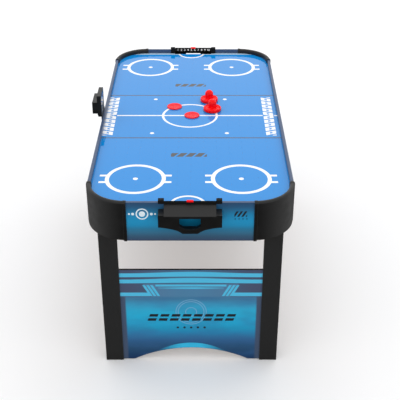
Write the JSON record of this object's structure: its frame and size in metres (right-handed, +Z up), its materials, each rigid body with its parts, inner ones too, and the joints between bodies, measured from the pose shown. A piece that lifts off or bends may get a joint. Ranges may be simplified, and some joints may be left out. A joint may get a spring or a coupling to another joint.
{
  "type": "air hockey table",
  "caption": "Four-foot air hockey table on four corner legs, with goal trays, sliding score markers, a side score counter, mallets, pucks and a blower.",
  "frame": {"origin": "on the floor, in the middle of the whole object's box; the table's own centre plane is x = +0.014, because the score counter hangs on the left side only", "axes": "+Y along the table towards the far goal, +X to the right of a player at the near goal, +Z up"},
  "size_m": [0.635, 1.294, 0.698],
  "materials": {
    "playfield_laminate": "gloss printed laminate on thin fibreboard",
    "apron_foil": "printed blue gradient foil on fibreboard",
    "panel_foil": "printed striped foil on fibreboard",
    "leg_foil": "satin black foil on fibreboard",
    "raw_fibreboard": "raw fibreboard",
    "batten_pine": "planed softwood",
    "black_moulding": "satin black moulded plastic",
    "glide_plastic": "black polyethylene",
    "red_moulding": "glossy red moulded plastic",
    "felt": "black felt",
    "window_tint": "dark red tinted acrylic",
    "circuit": "green circuit board",
    "cell_sleeve": "printed steel cell",
    "zinc_steel": "zinc plated steel",
    "grey_steel": "plain steel",
    "button_rubber": "grey silicone rubber"
  },
  "bodies": {
    "table": {"playfield": "playfield_laminate", "bottom_board": "raw_fibreboard", "side_battens": "batten_pine", "end_battens": "batten_pine", "cross_battens": "batten_pine", "left_apron": "apron_foil", "right_apron": "apron_foil", "near_apron": "apron_foil", "far_apron": "apron_foil", "far_right_corner_core": "raw_fibreboard", "far_right_corner_cover": "black_moulding", "far_right_leg": "leg_foil", "far_left_corner_core": "raw_fibreboard", "far_left_corner_cover": "black_moulding", "far_left_leg": "leg_foil", "near_right_corner_core": "raw_fibreboard", "near_right_corner_cover": "black_moulding", "near_right_leg": "leg_foil", "near_left_corner_core": "raw_fibreboard", "near_left_corner_cover": "black_moulding", "near_left_leg": "leg_foil", "leg_plates": "raw_fibreboard", "leg_bolts": "zinc_steel", "foot_glides": "glide_plastic", "near_end_panel": "panel_foil", "near_goal_box": "black_moulding", "near_score_rail": "black_moulding", "far_end_panel": "panel_foil", "far_goal_box": "black_moulding", "far_score_rail": "black_moulding", "panel_brackets": "zinc_steel", "panel_screws": "zinc_steel", "goal_box_screws": "zinc_steel", "counter_screws": "zinc_steel", "blower_screws": "zinc_steel", "counter_case": "black_moulding", "counter_back": "black_moulding", "counter_bracket": "black_moulding", "blower_housing": "black_moulding", "blower_grille": "black_moulding", "switch_frame": "black_moulding", "power_inlet": "black_moulding", "counter_window": "window_tint", "counter_board": "circuit", "batteries": "cell_sleeve", "blower_motor": "grey_steel"},
    "near_slider": {"near_score_slider": "red_moulding"},
    "far_slider": {"far_score_slider": "red_moulding"},
    "near_mallet": {"near_mallet": "red_moulding", "near_mallet_felt": "felt"},
    "far_mallet": {"far_mallet": "red_moulding", "far_mallet_felt": "felt"},
    "centre_puck": {"centre_puck": "red_moulding"},
    "left_puck": {"left_puck": "red_moulding"},
    "blower_wheel": {"impeller": "black_moulding", "motor_shaft": "grey_steel"},
    "switch_rocker": {"power_rocker": "black_moulding"},
    "near_button": {"near_score_button": "button_rubber"},
    "far_button": {"far_score_button": "button_rubber"},
    "battery_door": {"battery_door": "black_moulding"}
  },
  "joints": [
    {"name": "near_slider_travel", "type": "slide", "parent": "table", "child": "near_slider", "axis": [1, 0, 0], "range_m": [-0.062, 0.062]},
    {"name": "far_slider_travel", "type": "slide", "parent": "table", "child": "far_slider", "axis": [1, 0, 0], "range_m": [-0.062, 0.062]},
    {"name": "near_mallet_glide", "type": "slide", "parent": "table", "child": "near_mallet", "axis": [0, 1, 0], "range_m": [-0.6, 0]},
    {"name": "far_mallet_glide", "type": "slide", "parent": "table", "child": "far_mallet", "axis": [0, 1, 0], "range_m": [0, 0.432]},
    {"name": "centre_puck_glide", "type": "slide", "parent": "table", "child": "centre_puck", "axis": [0, 1, 0], "range_m": [-0.56, 0.56]},
    {"name": "left_puck_glide", "type": "slide", "parent": "table", "child": "left_puck", "axis": [0, 1, 0], "range_m": [-0.62, 0.48]},
    {"name": "blower_spin", "type": "hinge", "parent": "table", "child": "blower_wheel", "pos_m": [0.014, -0.15, 0.555], "axis": [0, 0, 1], "continuous": true},
    {"name": "power_switch", "type": "hinge", "parent": "table", "child": "switch_rocker", "pos_m": [0.3095, -0.33, 0.545], "axis": [0, 1, 0], "range_deg": [0, 20]},
    {"name": "near_button_press", "type": "slide", "parent": "table", "child": "near_button", "axis": [-1, 0, 0], "range_m": [0, 0.0012], "stiffness_N_per_m": 400, "springref_m": -0.0005},
    {"name": "far_button_press", "type": "slide", "parent": "table", "child": "far_button", "axis": [-1, 0, 0], "range_m": [0, 0.0012], "stiffness_N_per_m": 400, "springref_m": -0.0005},
    {"name": "battery_door_slide", "type": "slide", "parent": "table", "child": "battery_door", "axis": [0, 1, 0], "range_m": [0, 0.03]}
  ]
}
